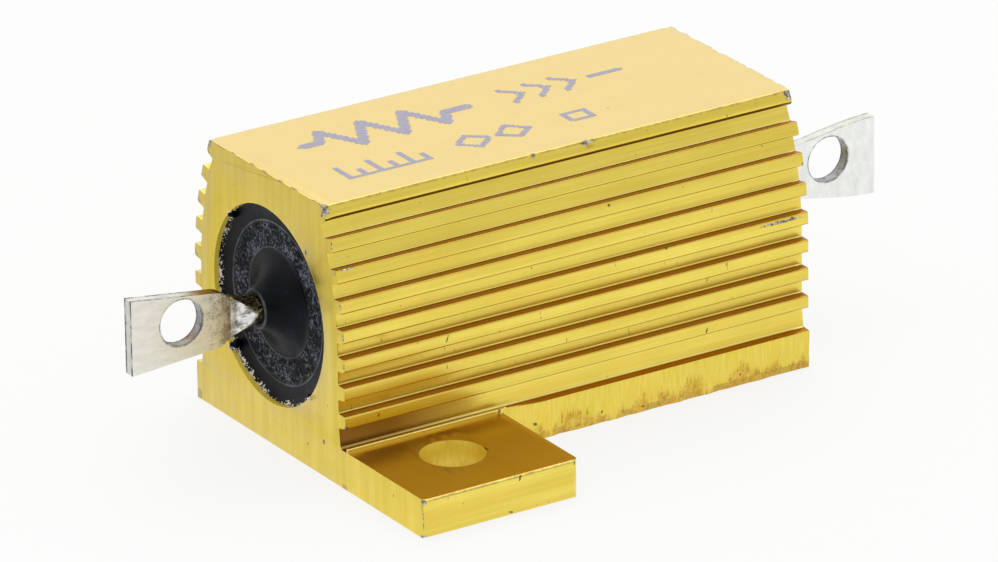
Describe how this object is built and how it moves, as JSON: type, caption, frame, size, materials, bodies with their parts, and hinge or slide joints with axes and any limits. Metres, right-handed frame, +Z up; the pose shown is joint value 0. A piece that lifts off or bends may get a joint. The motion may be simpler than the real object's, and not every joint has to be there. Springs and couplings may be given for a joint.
{
  "type": "power resistor",
  "caption": "Wirewound power resistor in a gold anodised, finned aluminium housing, with pierced solder lugs and two screw-down flanges at opposite corners.",
  "frame": {"origin": "middle of the seating face under the housing", "axes": "+X along the body, towards the end whose flange stands out to +Y; +Y across the flanges; +Z up from the seating face"},
  "size_m": [0.0434, 0.0278, 0.0143],
  "materials": {
    "anodised_aluminium": "satin",
    "moulding_compound": "matte",
    "tinned_terminal": "satin",
    "steatite": "matte",
    "resistance_alloy": "satin",
    "cap_steel": "satin"
  },
  "bodies": {
    "root": {"housing": "anodised_aluminium", "moulding": "moulding_compound", "terminal_left": "tinned_terminal", "terminal_right": "tinned_terminal", "ceramic_core": "steatite", "resistance_winding": "resistance_alloy", "end_cap_left": "cap_steel", "end_cap_right": "cap_steel"}
  },
  "joints": []
}
